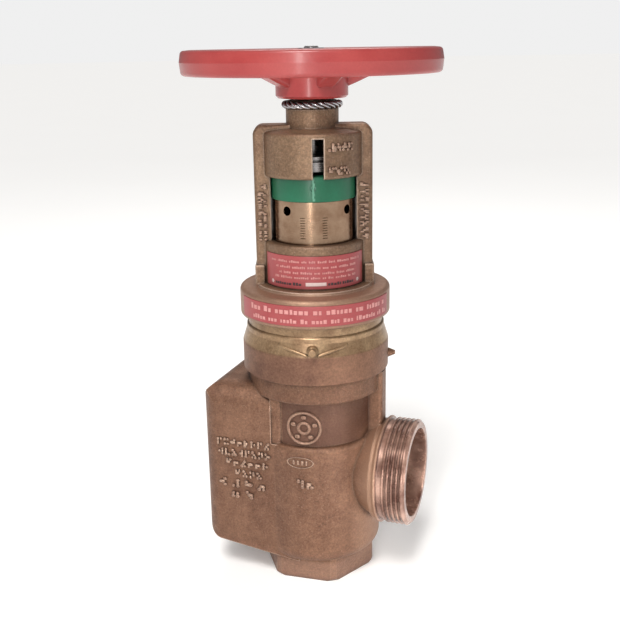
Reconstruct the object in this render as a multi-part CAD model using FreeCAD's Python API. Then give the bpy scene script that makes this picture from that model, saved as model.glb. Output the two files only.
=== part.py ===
import FreeCAD, Part
import math
import os
from FreeCAD import Vector

# Fire-hose pressure reducing angle valve with a rising handwheel stem.
# Millimetres. Origin: centre of the inlet's bottom face. +Z runs up the stem, +X out of the outlet.
# Everything on the stem axis is turned work, so most pieces are lathe profiles of (radius, height).

# ---------------------------------------------------------------- driving dimensions
TURN_CLEARANCE = 0.06       # radial clearance of each sliding or turning fit
SEAT_CLEARANCE = 0.05       # radial clearance of threaded and seated joints that do not move

YOKE_TURN = 20.0            # the yoke's legs stand this many degrees round from the outlet
SLOT_ANGLE = -84.6          # the cup's slot, in degrees in the yoke's own frame
BAR_HOLE_ANGLE = -39.0      # first bar hole of the sleeve, in the same frame
SCALE_ANGLE = -90.5         # ring screw and setting scale, in the same frame

# bottom hexagon and the two pipe threads
HEX_FLATS = 75.6
HEX_TURN = 4.0
HEX_CORNER_R = 42.4         # its corners are turned down to this
HEX_TOP = 20.0
INLET_CREST = 28.3          # inside radius of the 2 inch taper pipe thread
INLET_ROOT = 30.0
INLET_PITCH = 2.209
INLET_DEPTH = 22.0
OUTLET_Z = 81.2
OUTLET_END = 77.2
OUTLET_CREST = 38.97        # 2 1/2 inch fire-hose thread, 7.5 threads per inch
OUTLET_ROOT = 36.6
OUTLET_PITCH = 3.387
OUTLET_THREAD_START = 59.5
OUTLET_NECK = 37.2
OUTLET_BORE = 32.5

# body casting
WALL = 5.5
BARREL_R = 47.0
BARREL_BOTTOM = 17.0
BARREL_TOP = 110.0
THROAT_R = 42.8             # recessed stretch between the barrel and the collar
COLLAR_R = 49.2
COLLAR_BOTTOM = 144.0
COLLAR_TOP = 158.8
BODY_TOP = 176.0
BODY_THREAD_R = 47.6
PASSAGE_END = 75.8          # end of the inlet side passage, along -X
PASSAGE_HALF = 43.5         # half of its width
PASSAGE_TOP = 150.0
PASSAGE_CROWN = 17.0        # radius along its top edges
PASSAGE_LOW_END = 27.0      # its sloping underside, at the end
PASSAGE_LOW_MIDDLE = 17.0   # and at the stem axis
PASSAGE_CORNER = 13.0       # radius of its upright corners
PASSAGE_HEEL = 14.0         # radius where the end turns into the underside
PASSAGE_RIGHT = -20.0       # where its flat side stops, above the barrel
STRIP_HALF = 42.2           # low upright strip beside it, front and back
WEB_BOTTOM = 101.0
WEB_TOP = 110.0

# bonnet, piston cylinder and seat
BONNET_BOTTOM = 159.4
BONNET_R = 53.2
BONNET_NECK_R = 48.7
BONNET_TOP = 200.0
LOCK_SCREW_Z = 184.6
LOCK_SCREW_ANGLE = -73.0
LOCK_SCREW_R = 2.0
LOCK_BOSS_START = 47.8
LOCK_HEAD_START = 53.9
LINER_SHOULDER = 179.4      # top of the liner's flange, under the bonnet
BONNET_LIP_R = 43.55
STOP_LUG_ANGLE = 16.0
STOP_LUG_Z = 167.4
LUG_REACH = 8.4             # length of the pointed lug's cone
LUG_SUNK = 3.2              # how much of that lies inside the bonnet's wall
LINER_R = 36.0
LINER_OUTER = 40.0
LINER_BOTTOM = 148.0
LINER_FLANGE_LOW = 176.4
SEAT_R = 25.0               # radius of the water way through the seat
SEAT_TOP = 116.0
BOLT_R = 8.0                # hollow bolt that holds disc and piston together
BOLT_BORE = BOLT_R + SEAT_CLEARANCE

# yoke
FLANGE_R = 54.1
FLANGE_BOTTOM = 200.3
FLANGE_TOP = 220.5
CUP_BASE_R = 36.0           # lower cup that the adjusting sleeve screws into
CUP_BASE_TOP = 253.8
YOKE_HALF = 41.2
YOKE_TOP = 334.0
YOKE_DEPTH = 10.0           # half of the legs' thickness, front to back
WINDOW_R = 31.5             # the arch is bored out round the sleeve
CUP_R = 35.0                # slotted cup below the yoke's bar
CUP_INSIDE = 31.2
CUP_BOTTOM = 299.0
CUP_CEILING = 326.6
CUP_TOP = 329.0
SLOT_WIDTH = 7.6
NECK_R = 18.25
NECK_SHOULDER = 344.3
NECK_SPIGOT_R = 16.0
NECK_TOP = 350.0
WIRE_RING_SECTION = 2.6     # half the thickness of the twisted tamper wire
BUSH_R = 12.9

# adjusting sleeve and setting ring
SLEEVE_R = 29.5
SLEEVE_BOTTOM = 228.0
SLEEVE_SHOULDER = 283.4
SLEEVE_TOP = 298.0
SLEEVE_SPIGOT_R = 26.4
BAR_HOLE_R = 3.2
BAR_HOLE_Z = 276.8
SETTING_RING_R = 30.3
SETTING_RING_TOP = 300.8
RING_SCREW_Z = 293.0
RING_SCREW_R = 2.0

# stem, spring and handwheel
STEM_R = 8.0
STEM_BOTTOM = 172.0
COLLAR_LOW = 302.5
COLLAR_HIGH = 313.3
SPRING_BOTTOM = 171.0
SPRING_TOP = 224.0
SPRING_MEAN_R = 24.2
SPRING_WIRE = 4.4
SPRING_TURNS = 5.0
HUB_BOTTOM = 351.3
HUB_R = 25.0
HUB_TOP = 374.0
RIM_R = 89.5
RIM_INSIDE = 75.0
RIM_BOTTOM = 367.0
RIM_TOP = 384.0
SPOKES = 5
SPOKE_TURN = 24.0
SPOKE_HALF = 6.4            # half of a spoke's width
SQUARE = 12.0               # stem square inside the hub
WHEEL_NUT_TOP = 384.2

NUDGE = 1.0                 # how far a cutting tool runs past a face
ORIGIN = Vector(0, 0, 0)
UP = Vector(0, 0, 1)


# ---------------------------------------------------------------- shared helpers
def lathe(profile):
    """Solid of revolution about Z from a closed outline of (radius, height) points."""
    points = [Vector(r, 0, z) for r, z in profile]
    outline = Part.makePolygon(points + points[:1])
    return Part.Face(outline).revolve(ORIGIN, UP, 360)


def disc(radius, low, high):
    return Part.makeCylinder(radius, high - low, Vector(0, 0, low))


def tube(inside, outside, low, high):
    return lathe([(inside, low), (outside, low), (outside, high), (inside, high)])


def turned(shape, degrees):
    """The shape turned about the stem axis."""
    copy = shape.copy()
    copy.rotate(ORIGIN, UP, degrees)
    return copy


def round_edges(shape, radius, wanted):
    """Fillet the edges whose centre of mass passes the test."""
    edges = [edge for edge in shape.Edges if wanted(edge, edge.CenterOfMass)]
    return shape.makeFillet(radius, edges)


def is_circle(edge, radius, height, tolerance=0.05):
    """True for a full circle about Z of this radius at this height."""
    curve = edge.Curve
    if not isinstance(curve, Part.Circle):
        return False
    on_axis = math.hypot(curve.Center.x, curve.Center.y) < tolerance
    return on_axis and abs(curve.Radius - radius) < tolerance and abs(curve.Center.z - height) < tolerance


def round_rims(shape, rims):
    """Fillet circles about Z, given as (radius, height, fillet)."""
    for radius, height, fillet in rims:
        shape = round_edges(shape, fillet, lambda edge, at: is_circle(edge, radius, height))
    return shape


def hexagon(flats, low, high, turn=0.0):
    corner = flats / math.sqrt(3)
    points = []
    for step in range(7):
        angle = math.radians(60 * step + turn)
        points.append(Vector(corner * math.cos(angle), corner * math.sin(angle), low))
    return Part.Face(Part.makePolygon(points)).extrude(Vector(0, 0, high - low))


def plate(points, half_depth):
    """Outline of (x, z) points pulled equally both ways along Y."""
    corners = [Vector(x, -half_depth, z) for x, z in points]
    return Part.Face(Part.makePolygon(corners + corners[:1])).extrude(Vector(0, 2 * half_depth, 0))


def along_x(shape, start, height):
    """A shape made about Z, laid down to point along +X from start at this height."""
    copy = shape.copy()
    copy.rotate(ORIGIN, Vector(0, 1, 0), 90)
    copy.translate(Vector(start, 0, height))
    return copy


def radial(shape, degrees, radius, height):
    """A shape made about Z, turned to point outward from the stem axis."""
    copy = along_x(shape, radius, height)
    return turned(copy, degrees)


# ---------------------------------------------------------------- body casting
def passage_block(inset):
    """The side passage: outside at inset 0, the water space inside it at one wall."""
    end = PASSAGE_END - inset
    half = PASSAGE_HALF - inset
    top = PASSAGE_TOP - inset
    crown = PASSAGE_CROWN - inset
    corner = PASSAGE_CORNER - inset * 0.6
    heel = PASSAGE_HEEL - inset
    low_end = PASSAGE_LOW_END + inset
    low_middle = PASSAGE_LOW_MIDDLE + inset
    block = plate([(0, low_middle), (0, top), (-end, top), (-end, low_end)], half)
    block = round_edges(block, crown, lambda edge, at: abs(at.z - top) < 0.1 and at.x < -1)
    block = round_edges(block, heel, lambda edge, at: abs(at.x + end) < 0.1 and abs(at.z - low_end) < 0.1)
    side = Part.makeBox(end + NUDGE, 2 * half, 400, Vector(-end, -half, -100))
    side = round_edges(side, corner, lambda edge, at: abs(at.x + end) < 0.1 and abs(abs(at.y) - half) < 0.1)
    return block.common(side)


def outlet_boss():
    """Flared boss, shoulder and threaded spigot, along +X."""
    flare = Part.makeCone(24.0, 38.0, 27.5, Vector(26.5, 0, OUTLET_Z), Vector(1, 0, 0))
    shoulder = Part.makeCylinder(39.6, 2.2, Vector(54.0, 0, OUTLET_Z), Vector(1, 0, 0))
    shoulder = shoulder.makeChamfer(0.8, shoulder.Edges)
    neck = Part.makeCylinder(OUTLET_NECK, OUTLET_END - 50.0, Vector(50.0, 0, OUTLET_Z), Vector(1, 0, 0))
    return flare.fuse([shoulder, neck])


def outlet_thread():
    """Thread rings of the hose outlet, with a chamfered lead at its end."""
    length = OUTLET_END - OUTLET_THREAD_START
    sleeve = tube(OUTLET_BORE, OUTLET_CREST, 0, length)
    lead = lathe([(OUTLET_ROOT - 0.6, length + 0.01), (OUTLET_CREST + 1, length + 0.01),
                  (OUTLET_CREST + 1, length - 2.4), (OUTLET_CREST, length - 1.8)])
    grooves = []
    count = int(length / OUTLET_PITCH)
    for turn in range(count):
        low = length - 2.2 - (turn + 1) * OUTLET_PITCH
        high = low + OUTLET_PITCH - 0.55
        middle = (low + high) / 2
        grooves.append(lathe([(OUTLET_CREST + 0.5, low - 0.25), (OUTLET_ROOT, middle - 0.25),
                              (OUTLET_ROOT, middle + 0.25), (OUTLET_CREST + 0.5, high + 0.25)]))
    threaded = sleeve.cut(grooves + [lead])
    return along_x(threaded, OUTLET_THREAD_START, OUTLET_Z)


def body_outside():
    hexagon_base = hexagon(HEX_FLATS, 0, HEX_TOP + 4, HEX_TURN)
    turned_bar = lathe([(0, -NUDGE), (HEX_CORNER_R - 2.0, -NUDGE), (HEX_CORNER_R, 1.5), (HEX_CORNER_R, 40),
                        (0, 40)])
    hexagon_base = hexagon_base.common(turned_bar)
    barrel = disc(BARREL_R, BARREL_BOTTOM, BARREL_TOP)
    barrel = round_rims(barrel, [(BARREL_R, BARREL_BOTTOM, 9.5), (BARREL_R, BARREL_TOP, 3.5)])
    throat = disc(THROAT_R, BARREL_TOP - 5, COLLAR_BOTTOM + 2)
    collar = round_rims(disc(COLLAR_R, COLLAR_BOTTOM, COLLAR_TOP),
                        [(COLLAR_R, COLLAR_BOTTOM, 1.2), (COLLAR_R, COLLAR_TOP, 0.8)])
    thread = disc(BODY_THREAD_R, COLLAR_TOP - 2, BODY_TOP)
    block = passage_block(0)
    gap_beside_throat = Part.makeBox(60, 200, COLLAR_BOTTOM + 6 - BARREL_TOP,
                                     Vector(PASSAGE_RIGHT, -100, BARREL_TOP - 1.0))
    block = block.cut(gap_beside_throat)
    strip_corner = Vector(PASSAGE_RIGHT - 1.0, -STRIP_HALF, BARREL_TOP - 1.0)
    strip = Part.makeBox(8.0, 2 * STRIP_HALF, COLLAR_BOTTOM + 2 - BARREL_TOP, strip_corner)
    strip = round_edges(strip, 1.8, lambda edge, at: at.x > PASSAGE_RIGHT + 6.9
                        and abs(abs(at.y) - STRIP_HALF) < 0.1)
    rib = Part.makeBox(22.0, 13.0, COLLAR_TOP - 105.0, Vector(30.4, -6.5, 104.6))
    rib = round_edges(rib, 2.5, lambda edge, at: at.x > 52.3 and abs(abs(at.y) - 6.5) < 0.1)
    return hexagon_base.fuse([barrel, throat, collar, thread, block, strip, rib, outlet_boss()])


def body_inside():
    """All the water space, before the web that divides it."""
    barrel = disc(BARREL_R - WALL, BARREL_BOTTOM + 10.0, WEB_TOP)
    throat = disc(THROAT_R - 5.0, WEB_BOTTOM, LINER_BOTTOM)
    upper = disc(LINER_OUTER + SEAT_CLEARANCE, LINER_BOTTOM, BODY_TOP + NUDGE)
    inlet = disc(INLET_CREST, -NUDGE, BARREL_BOTTOM + 12)
    passage = passage_block(WALL)
    passage = passage.common(Part.makeBox(80 - 12, 200, 200, Vector(-80, -100, 0)))
    keep_low = disc(BARREL_R - WALL, BARREL_BOTTOM + 10.0, COLLAR_BOTTOM)
    passage_low = passage_block(WALL).common(keep_low)
    return barrel.fuse([throat, upper, inlet, passage, passage_low])


def dividing_web():
    """S-shaped wall between the inlet side and the outlet side, with the seat's hole in it."""
    outline = [(60, WEB_TOP), (-42, WEB_TOP), (-42, 62), (9, 30), (60, 30),
               (60, 36), (12, 36), (-36, 66), (-36, WEB_BOTTOM), (60, WEB_BOTTOM)]
    return plate(outline, 60)


def valve_body():
    outside = body_outside()
    inside = body_inside()
    web = dividing_web().common(inside)
    casting = outside.cut(inside).fuse(web)
    casting = casting.fuse(outlet_thread())
    bore = Part.makeCylinder(OUTLET_BORE, 40, Vector(OUTLET_END - 24, 0, OUTLET_Z), Vector(1, 0, 0))
    throat = Part.makeCone(20.0, OUTLET_BORE, 33.2, Vector(OUTLET_END - 57.2, 0, OUTLET_Z), Vector(1, 0, 0))
    seat_hole = disc(30.6, WEB_BOTTOM - NUDGE, WEB_TOP + NUDGE)
    casting = casting.cut([bore, throat, seat_hole])
    casting = casting.cut(inlet_thread_grooves())
    return casting.removeSplitter()


def inlet_thread_grooves():
    grooves = []
    for turn in range(int(INLET_DEPTH / INLET_PITCH) - 1):
        low = 1.2 + turn * INLET_PITCH
        middle = low + (INLET_PITCH - 0.3) / 2
        grooves.append(lathe([(INLET_CREST - 0.5, low - 0.2), (INLET_ROOT, middle - 0.15),
                              (INLET_ROOT, middle + 0.15), (INLET_CREST - 0.5, low + INLET_PITCH - 0.1)]))
    return grooves


# ---------------------------------------------------------------- seat and disc
def seat_ring():
    return lathe([(SEAT_R, 99.5), (30.5, 99.5), (30.5, WEB_TOP + 0.6), (34.0, WEB_TOP + 0.6), (34.0, 113.6),
                  (28.6, 113.6), (27.4, SEAT_TOP), (26.2, SEAT_TOP), (SEAT_R, 114.6)])


def seat_gasket():
    return tube(30.6, 33.6, WEB_TOP, WEB_TOP + 0.6)


def disc_seal():
    return tube(20.0, 31.0, SEAT_TOP, 120.0)


def disc_holder():
    """Cup that holds the rubber seal, with the neck that hangs it below the piston."""
    return lathe([(BOLT_BORE, 120.0), (31.0, 120.0), (31.0, SEAT_TOP + 0.8), (33.4, SEAT_TOP + 0.8),
                  (33.4, 125.0), (30.0, 128.0), (14.0, 131.0), (14.0, 152.0), (BOLT_BORE, 152.0)])


def disc_retainer():
    return lathe([(BOLT_BORE, 113.0), (18.0, 113.0), (19.8, 115.4), (19.8, 120.0), (BOLT_BORE, 120.0)])


def centre_bolt():
    """Hollow bolt: outlet pressure reaches the top of the piston through it."""
    shank = tube(2.5, BOLT_R, 103.0, 170.0)
    cross = Part.makeCylinder(1.4, 30, Vector(-15, 0, 168.0), Vector(1, 0, 0))
    return shank.cut(cross)


def centre_nut():
    return hexagon(24.0, 105.0, 113.0).cut(disc(BOLT_BORE, 100, 120))


def piston():
    """Piston with grooves for its cup seal and its guide ring."""
    radius = LINER_R - TURN_CLEARANCE
    return lathe([(BOLT_BORE, 152.0), (radius, 152.0), (radius, 154.0), (radius - 2.6, 154.0),
                  (radius - 2.6, 157.0), (radius, 157.0), (radius, 159.5), (radius - 4.2, 159.5),
                  (radius - 4.2, 164.5),
                  (radius, 164.5), (radius, 167.0), (30.0, 168.0), (12.0, 168.0), (12.0, 166.0),
                  (BOLT_BORE, 166.0)])


def piston_guide_ring():
    radius = LINER_R - TURN_CLEARANCE
    return tube(radius - 2.55, radius, 154.05, 156.95)


def piston_cup_seal():
    radius = LINER_R - TURN_CLEARANCE
    return lathe([(radius - 4.15, 159.6), (radius, 159.6), (radius, 164.4), (radius - 1.4, 164.4),
                  (radius - 2.1, 161.6), (radius - 2.8, 164.4), (radius - 4.15, 164.4)])


def thrust_button():
    """Hardened cap on the centre bolt that the stem's end bears on."""
    return lathe([(0, 170.0), (11.0, 170.0), (11.0, STEM_BOTTOM), (0, STEM_BOTTOM)])


def lower_spring_washer():
    return tube(14.0, 28.4, 168.0, SPRING_BOTTOM)


# ---------------------------------------------------------------- bonnet
def bonnet():
    """Screwed bonnet with a pointed lug and a screw boss, holding the piston's cylinder in the body."""
    thread = BODY_THREAD_R + SEAT_CLEARANCE
    shell = lathe([(thread, BONNET_BOTTOM), (BONNET_R, BONNET_BOTTOM), (BONNET_R, 180.0), (50.2, 189.4),
                   (50.0, 192.6), (49.4, 193.4), (BONNET_NECK_R, 193.8), (BONNET_NECK_R, BONNET_TOP),
                   (BONNET_LIP_R, BONNET_TOP), (BONNET_LIP_R, 188.2), (LINER_OUTER + SEAT_CLEARANCE, 188.2),
                   (LINER_OUTER + SEAT_CLEARANCE, LINER_SHOULDER), (45.3, LINER_SHOULDER),
                   (45.3, 177.4), (thread, 176.6)])
    shell = round_rims(shell, [(BONNET_R, BONNET_BOTTOM, 1.0), (BONNET_R, 180.0, 2.0)])
    lug = radial(Part.makeCone(4.8, 1.4, LUG_REACH), STOP_LUG_ANGLE, BONNET_R - LUG_SUNK, STOP_LUG_Z)
    boss = radial(Part.makeCone(4.6, 3.5, 6.0), LOCK_SCREW_ANGLE, LOCK_BOSS_START, LOCK_SCREW_Z)
    shell = shell.fuse([lug, boss])
    hole = radial(Part.makeCylinder(LOCK_SCREW_R + SEAT_CLEARANCE, 20), LOCK_SCREW_ANGLE, BODY_THREAD_R - 0.2,
                  LOCK_SCREW_Z)
    return shell.cut(hole).removeSplitter()


def lock_screw():
    """Round-headed screw that stops the bonnet from unscrewing."""
    head = Part.makeCylinder(2.8, 2.6, Vector(0, 0, LOCK_HEAD_START))
    head = head.makeFillet(0.9, [edge for edge in head.Edges if edge.CenterOfMass.z > LOCK_HEAD_START + 2.5])
    shank = Part.makeCylinder(LOCK_SCREW_R, 54.0 - BODY_THREAD_R - 0.2, Vector(0, 0, BODY_THREAD_R + 0.2))
    screw = shank.fuse(head)
    return turned(along_x(screw, 0, LOCK_SCREW_Z), LOCK_SCREW_ANGLE)


def bonnet_gasket():
    return tube(LINER_OUTER + 0.1, BODY_THREAD_R - 0.2, BODY_TOP, LINER_FLANGE_LOW)


def piston_cylinder():
    return lathe([(LINER_R, LINER_BOTTOM + 1.0), (LINER_R + 1.0, LINER_BOTTOM), (LINER_OUTER, LINER_BOTTOM),
                  (LINER_OUTER, LINER_FLANGE_LOW), (45.2, LINER_FLANGE_LOW), (45.2, LINER_SHOULDER),
                  (LINER_OUTER, LINER_SHOULDER), (LINER_OUTER, 187.6), (LINER_R, 187.6)])


# ---------------------------------------------------------------- yoke
def yoke_frame():
    """Arch of two flat-faced legs and a bar, in the plane across the stem."""
    corner = Vector(-YOKE_HALF, -YOKE_DEPTH, 219.0)
    outer = Part.makeBox(2 * YOKE_HALF, 2 * YOKE_DEPTH, YOKE_TOP - 219.0, corner)
    outer = round_edges(outer, 7.0, lambda edge, at: abs(at.z - YOKE_TOP) < 0.1
                        and abs(abs(at.x) - YOKE_HALF) < 0.1)
    outer = round_edges(outer, 2.4, lambda edge, at: abs(abs(at.y) - YOKE_DEPTH) < 0.1 and at.z > 222)
    return outer.cut(disc(WINDOW_R, 215.0, 328.5))


def yoke_feet():
    """Small pads where each leg meets the flange."""
    pads = []
    for side in (-1, 1):
        pad = Part.makeBox(7.0, 2 * YOKE_DEPTH + 4.4, 16.5, Vector(-3.5, -YOKE_DEPTH - 2.2, 220.0))
        pad = pad.makeFillet(1.0, pad.Edges)
        pad.translate(Vector(side * 38.7, 0, 0))
        pads.append(pad)
    return pads


def yoke():
    """One casting: flange, lower cup, two legs, bar, slotted cup and stem neck."""
    flange = lathe([(SLEEVE_R + 0.3, 188.6), (43.5, 188.6), (43.5, BONNET_TOP), (46.5, FLANGE_BOTTOM),
                    (FLANGE_R, FLANGE_BOTTOM), (FLANGE_R, FLANGE_TOP), (42.6, 221.2), (42.0, 223.0),
                    (CUP_BASE_R, 223.6), (CUP_BASE_R, CUP_BASE_TOP),
                    (SLEEVE_R + TURN_CLEARANCE, CUP_BASE_TOP), (SLEEVE_R + TURN_CLEARANCE, 226.0),
                    (SLEEVE_R + 0.3, 226.0)])
    flange = round_rims(flange, [(FLANGE_R, FLANGE_TOP, 3.0), (FLANGE_R, FLANGE_BOTTOM, 1.8),
                                 (CUP_BASE_R, CUP_BASE_TOP, 1.8)])
    room = disc(LINER_OUTER - 3.5, 188.0, 201.0)
    cup = lathe([(CUP_INSIDE, CUP_BOTTOM), (CUP_R, CUP_BOTTOM), (CUP_R, CUP_TOP), (26.0, CUP_TOP + 1.6),
                 (0, YOKE_TOP - 1.0), (0, CUP_CEILING), (CUP_INSIDE, CUP_CEILING)])
    cup = round_rims(cup, [(CUP_R, CUP_BOTTOM, 2.2), (CUP_R, CUP_TOP, 2.0)])
    neck = lathe([(0, 328.0), (NECK_R, 328.0), (NECK_R, NECK_SHOULDER), (NECK_SPIGOT_R, NECK_SHOULDER),
                  (NECK_SPIGOT_R, NECK_TOP), (0, NECK_TOP)])
    casting = yoke_frame().fuse([flange, cup, neck] + yoke_feet())
    casting = casting.cut([room, disc(CUP_INSIDE, 297.0, CUP_CEILING), disc(BUSH_R + 0.03, 300.0, 360.0),
                           disc(SLEEVE_R + TURN_CLEARANCE, 226.0, 260.0)])
    slot = Part.makeBox(12.0, SLOT_WIDTH, 326.0 - 290.0, Vector(27.0, -SLOT_WIDTH / 2, 290.0))
    casting = casting.cut(turned(slot, SLOT_ANGLE))
    return turned(casting.removeSplitter(), YOKE_TURN)


def stem_bush():
    """Bronze nut of the stem's thread, pressed into the neck."""
    return lathe([(STEM_R + TURN_CLEARANCE, 326.9), (BUSH_R, 326.9), (BUSH_R, 350.2), (11.5, 350.6),
                  (STEM_R + TURN_CLEARANCE, 350.6)])


def neck_seal_wire():
    """Twisted tamper wire wound once round the neck's spigot; its strands lie in this ring."""
    middle = NECK_SHOULDER + WIRE_RING_SECTION + 0.05
    return Part.makeTorus(NECK_SPIGOT_R + WIRE_RING_SECTION + 0.05, WIRE_RING_SECTION, Vector(0, 0, middle))


# ---------------------------------------------------------------- adjusting sleeve
def scale_marks():
    """Engraved setting scale: two columns of short lines beside a plain strip."""
    cuts = []
    for column in (-15.0, 15.0):
        for line in range(9):
            mark = Part.makeBox(2.0, 3.4, 0.4, Vector(SLEEVE_R - 0.4, -1.7, 258.4 + line * 1.75))
            cuts.append(turned(mark, SCALE_ANGLE + column))
    return cuts


def adjusting_sleeve():
    body = lathe([(STEM_R + TURN_CLEARANCE, SLEEVE_BOTTOM), (28.0, SLEEVE_BOTTOM), (SLEEVE_R, 229.5),
                  (SLEEVE_R, 232.0), (26.9, 232.0), (26.9, 235.4), (SLEEVE_R, 235.4),
                  (SLEEVE_R, SLEEVE_SHOULDER), (SLEEVE_SPIGOT_R, SLEEVE_SHOULDER),
                  (SLEEVE_SPIGOT_R, SLEEVE_TOP), (19.0, SLEEVE_TOP), (19.0, 241.0),
                  (STEM_R + TURN_CLEARANCE, 241.0),
                  (STEM_R + TURN_CLEARANCE, 236.4), (10.6, 236.4), (10.6, 233.2),
                  (STEM_R + TURN_CLEARANCE, 233.2)])
    hole = Part.makeCylinder(BAR_HOLE_R, 20)
    holes = [radial(hole, BAR_HOLE_ANGLE + 90 * step, 16.0, BAR_HOLE_Z) for step in range(4)]
    return turned(body.cut(holes + scale_marks()), YOKE_TURN)


def setting_ring():
    underside = SLEEVE_SHOULDER + 0.02
    ring = lathe([(SLEEVE_SPIGOT_R + SEAT_CLEARANCE, underside), (SETTING_RING_R, underside),
                  (SETTING_RING_R, SETTING_RING_TOP), (22.0, SETTING_RING_TOP), (22.0, SLEEVE_TOP + 0.4),
                  (SLEEVE_SPIGOT_R + SEAT_CLEARANCE, SLEEVE_TOP + 0.4)])
    ring = round_rims(ring, [(SETTING_RING_R, underside, 0.6), (SETTING_RING_R, SETTING_RING_TOP, 0.6)])
    hole = radial(Part.makeCylinder(RING_SCREW_R + SEAT_CLEARANCE, 10), SCALE_ANGLE, 25.0, RING_SCREW_Z)
    return turned(ring.cut(hole), YOKE_TURN)


def ring_screw():
    grub = Part.makeCylinder(RING_SCREW_R, 3.0).cut(hexagon(2.0, 1.6, 4.0))
    return turned(radial(grub, SCALE_ANGLE, SLEEVE_SPIGOT_R + 0.3, RING_SCREW_Z), YOKE_TURN)


def sleeve_o_ring():
    return tube(26.95, SLEEVE_R - 0.01, 232.3, 235.1)


def stem_o_ring():
    return tube(STEM_R + TURN_CLEARANCE, 10.55, 233.4, 236.2)


def upper_spring_washer():
    return tube(STEM_R + 1.2, 28.4, SPRING_TOP, SLEEVE_BOTTOM - 1.6)


def thrust_washer():
    return tube(STEM_R + 1.2, 24.0, SLEEVE_BOTTOM - 1.6, SLEEVE_BOTTOM)


def main_spring():
    """Compression spring: one round wire swept up a helix between the two washers."""
    half = SPRING_WIRE / 2
    low = SPRING_BOTTOM + half + 0.1
    height = SPRING_TOP - SPRING_BOTTOM - SPRING_WIRE - 0.2
    path = Part.makeHelix(height / SPRING_TURNS, height, SPRING_MEAN_R)
    path.translate(Vector(0, 0, low))
    section = Part.Wire([Part.makeCircle(half, Vector(SPRING_MEAN_R, 0, low), Vector(0, 1, 0))])
    return Part.Wire(path).makePipeShell([section], True, True)


# ---------------------------------------------------------------- stem and handwheel
def stem():
    """Rising stem: plain below, square inside the hub, threaded end for the wheel nut."""
    shaft = lathe([(0, STEM_BOTTOM), (6.5, STEM_BOTTOM), (STEM_R, STEM_BOTTOM + 1.5), (STEM_R, HUB_BOTTOM),
                   (0, HUB_BOTTOM)])
    square_corner = Vector(-SQUARE / 2, -SQUARE / 2, HUB_BOTTOM)
    square = Part.makeBox(SQUARE, SQUARE, HUB_TOP - 0.4 - HUB_BOTTOM, square_corner)
    square = square.common(disc(STEM_R, HUB_BOTTOM, HUB_TOP))
    end = lathe([(0, HUB_TOP - 0.4), (5.0, HUB_TOP - 0.4), (5.0, 384.6), (4.2, 385.4), (0, 385.4)])
    return shaft.fuse([square, end]).removeSplitter()


def travel_indicator():
    """Grooved steel collar on the stem that shows in the cup's slot."""
    return lathe([(STEM_R + 0.02, COLLAR_LOW), (23.4, COLLAR_LOW), (24.0, COLLAR_LOW + 0.6), (24.0, 309.6),
                  (21.5, 309.6), (21.5, 311.2), (24.0, 311.2), (24.0, COLLAR_HIGH),
                  (STEM_R + 0.02, COLLAR_HIGH)])


def handwheel_spoke():
    profile = [(12, 353.5), (31, 361.2), (44, 367.0), (60, 369.6), (81, 370.6), (81, 379.4), (58, 379.0),
               (34, 375.0), (12, 372.0)]
    spoke = plate(profile, SPOKE_HALF)
    return round_edges(spoke, 2.6, lambda edge, at: abs(abs(at.y) - SPOKE_HALF) < 0.1 and 12.5 < at.x < 80.5)


def handwheel():
    hub = lathe([(0, HUB_BOTTOM), (23.4, HUB_BOTTOM), (HUB_R, HUB_BOTTOM + 1.6), (HUB_R, 371.0),
                 (21.0, HUB_TOP), (0, HUB_TOP)])
    rim = lathe([(RIM_INSIDE, RIM_BOTTOM + 1), (RIM_R - 1.0, RIM_BOTTOM), (RIM_R, 376.0),
                 (RIM_R - 1.2, RIM_TOP - 0.6), (RIM_R - 7, RIM_TOP), (RIM_INSIDE, RIM_TOP - 1)])
    rim = round_edges(rim, 2.6, lambda edge, at: isinstance(edge.Curve, Part.Circle)
                      and not is_circle(edge, RIM_R, 376.0) and not is_circle(edge, RIM_R - 7, RIM_TOP))
    spokes = [turned(handwheel_spoke(), SPOKE_TURN + 360 / SPOKES * step) for step in range(SPOKES)]
    wheel = hub.fuse([rim] + spokes)
    hole = SQUARE + 0.1
    square = Part.makeBox(hole, hole, 60, Vector(-hole / 2, -hole / 2, 340))
    square = square.common(disc(STEM_R + 0.05, 330, 400))
    return wheel.cut(square).removeSplitter()


def wheel_washer():
    return tube(5.3, 11.0, HUB_TOP, HUB_TOP + 1.8)


def wheel_nut():
    nut = hexagon(17.0, HUB_TOP + 1.8, WHEEL_NUT_TOP, 14.0).cut(disc(5.05, 370, 390))
    bevel = lathe([(0, 370), (12, 370), (12, WHEEL_NUT_TOP - 1.6), (8.4, WHEEL_NUT_TOP), (0, WHEEL_NUT_TOP)])
    return nut.common(bevel)


# ---------------------------------------------------------------- labels
def cup_label():
    """Curved instruction plate on the front of the lower cup."""
    shell = tube(CUP_BASE_R + 0.02, CUP_BASE_R + 0.5, 224.4, 247.4)
    wedge = turned(sector(66.0, 60.0, 215.0, 260.0), -90.0)
    return turned(shell.common(wedge), YOKE_TURN)


def flange_label():
    """Curved warning band round the front of the flange."""
    shell = tube(FLANGE_R + 0.02, FLANGE_R + 0.4, 203.0, 217.2)
    wedge = turned(sector(68.0, 80.0, 195.0, 225.0), -90.0)
    return turned(shell.common(wedge), YOKE_TURN)


def sector(half_angle, radius, low, high):
    """Wedge about the stem axis, symmetrical about +X."""
    wedge = Part.makeCylinder(radius, high - low, Vector(0, 0, low), UP, 2 * half_angle)
    return turned(wedge, -half_angle)


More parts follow.
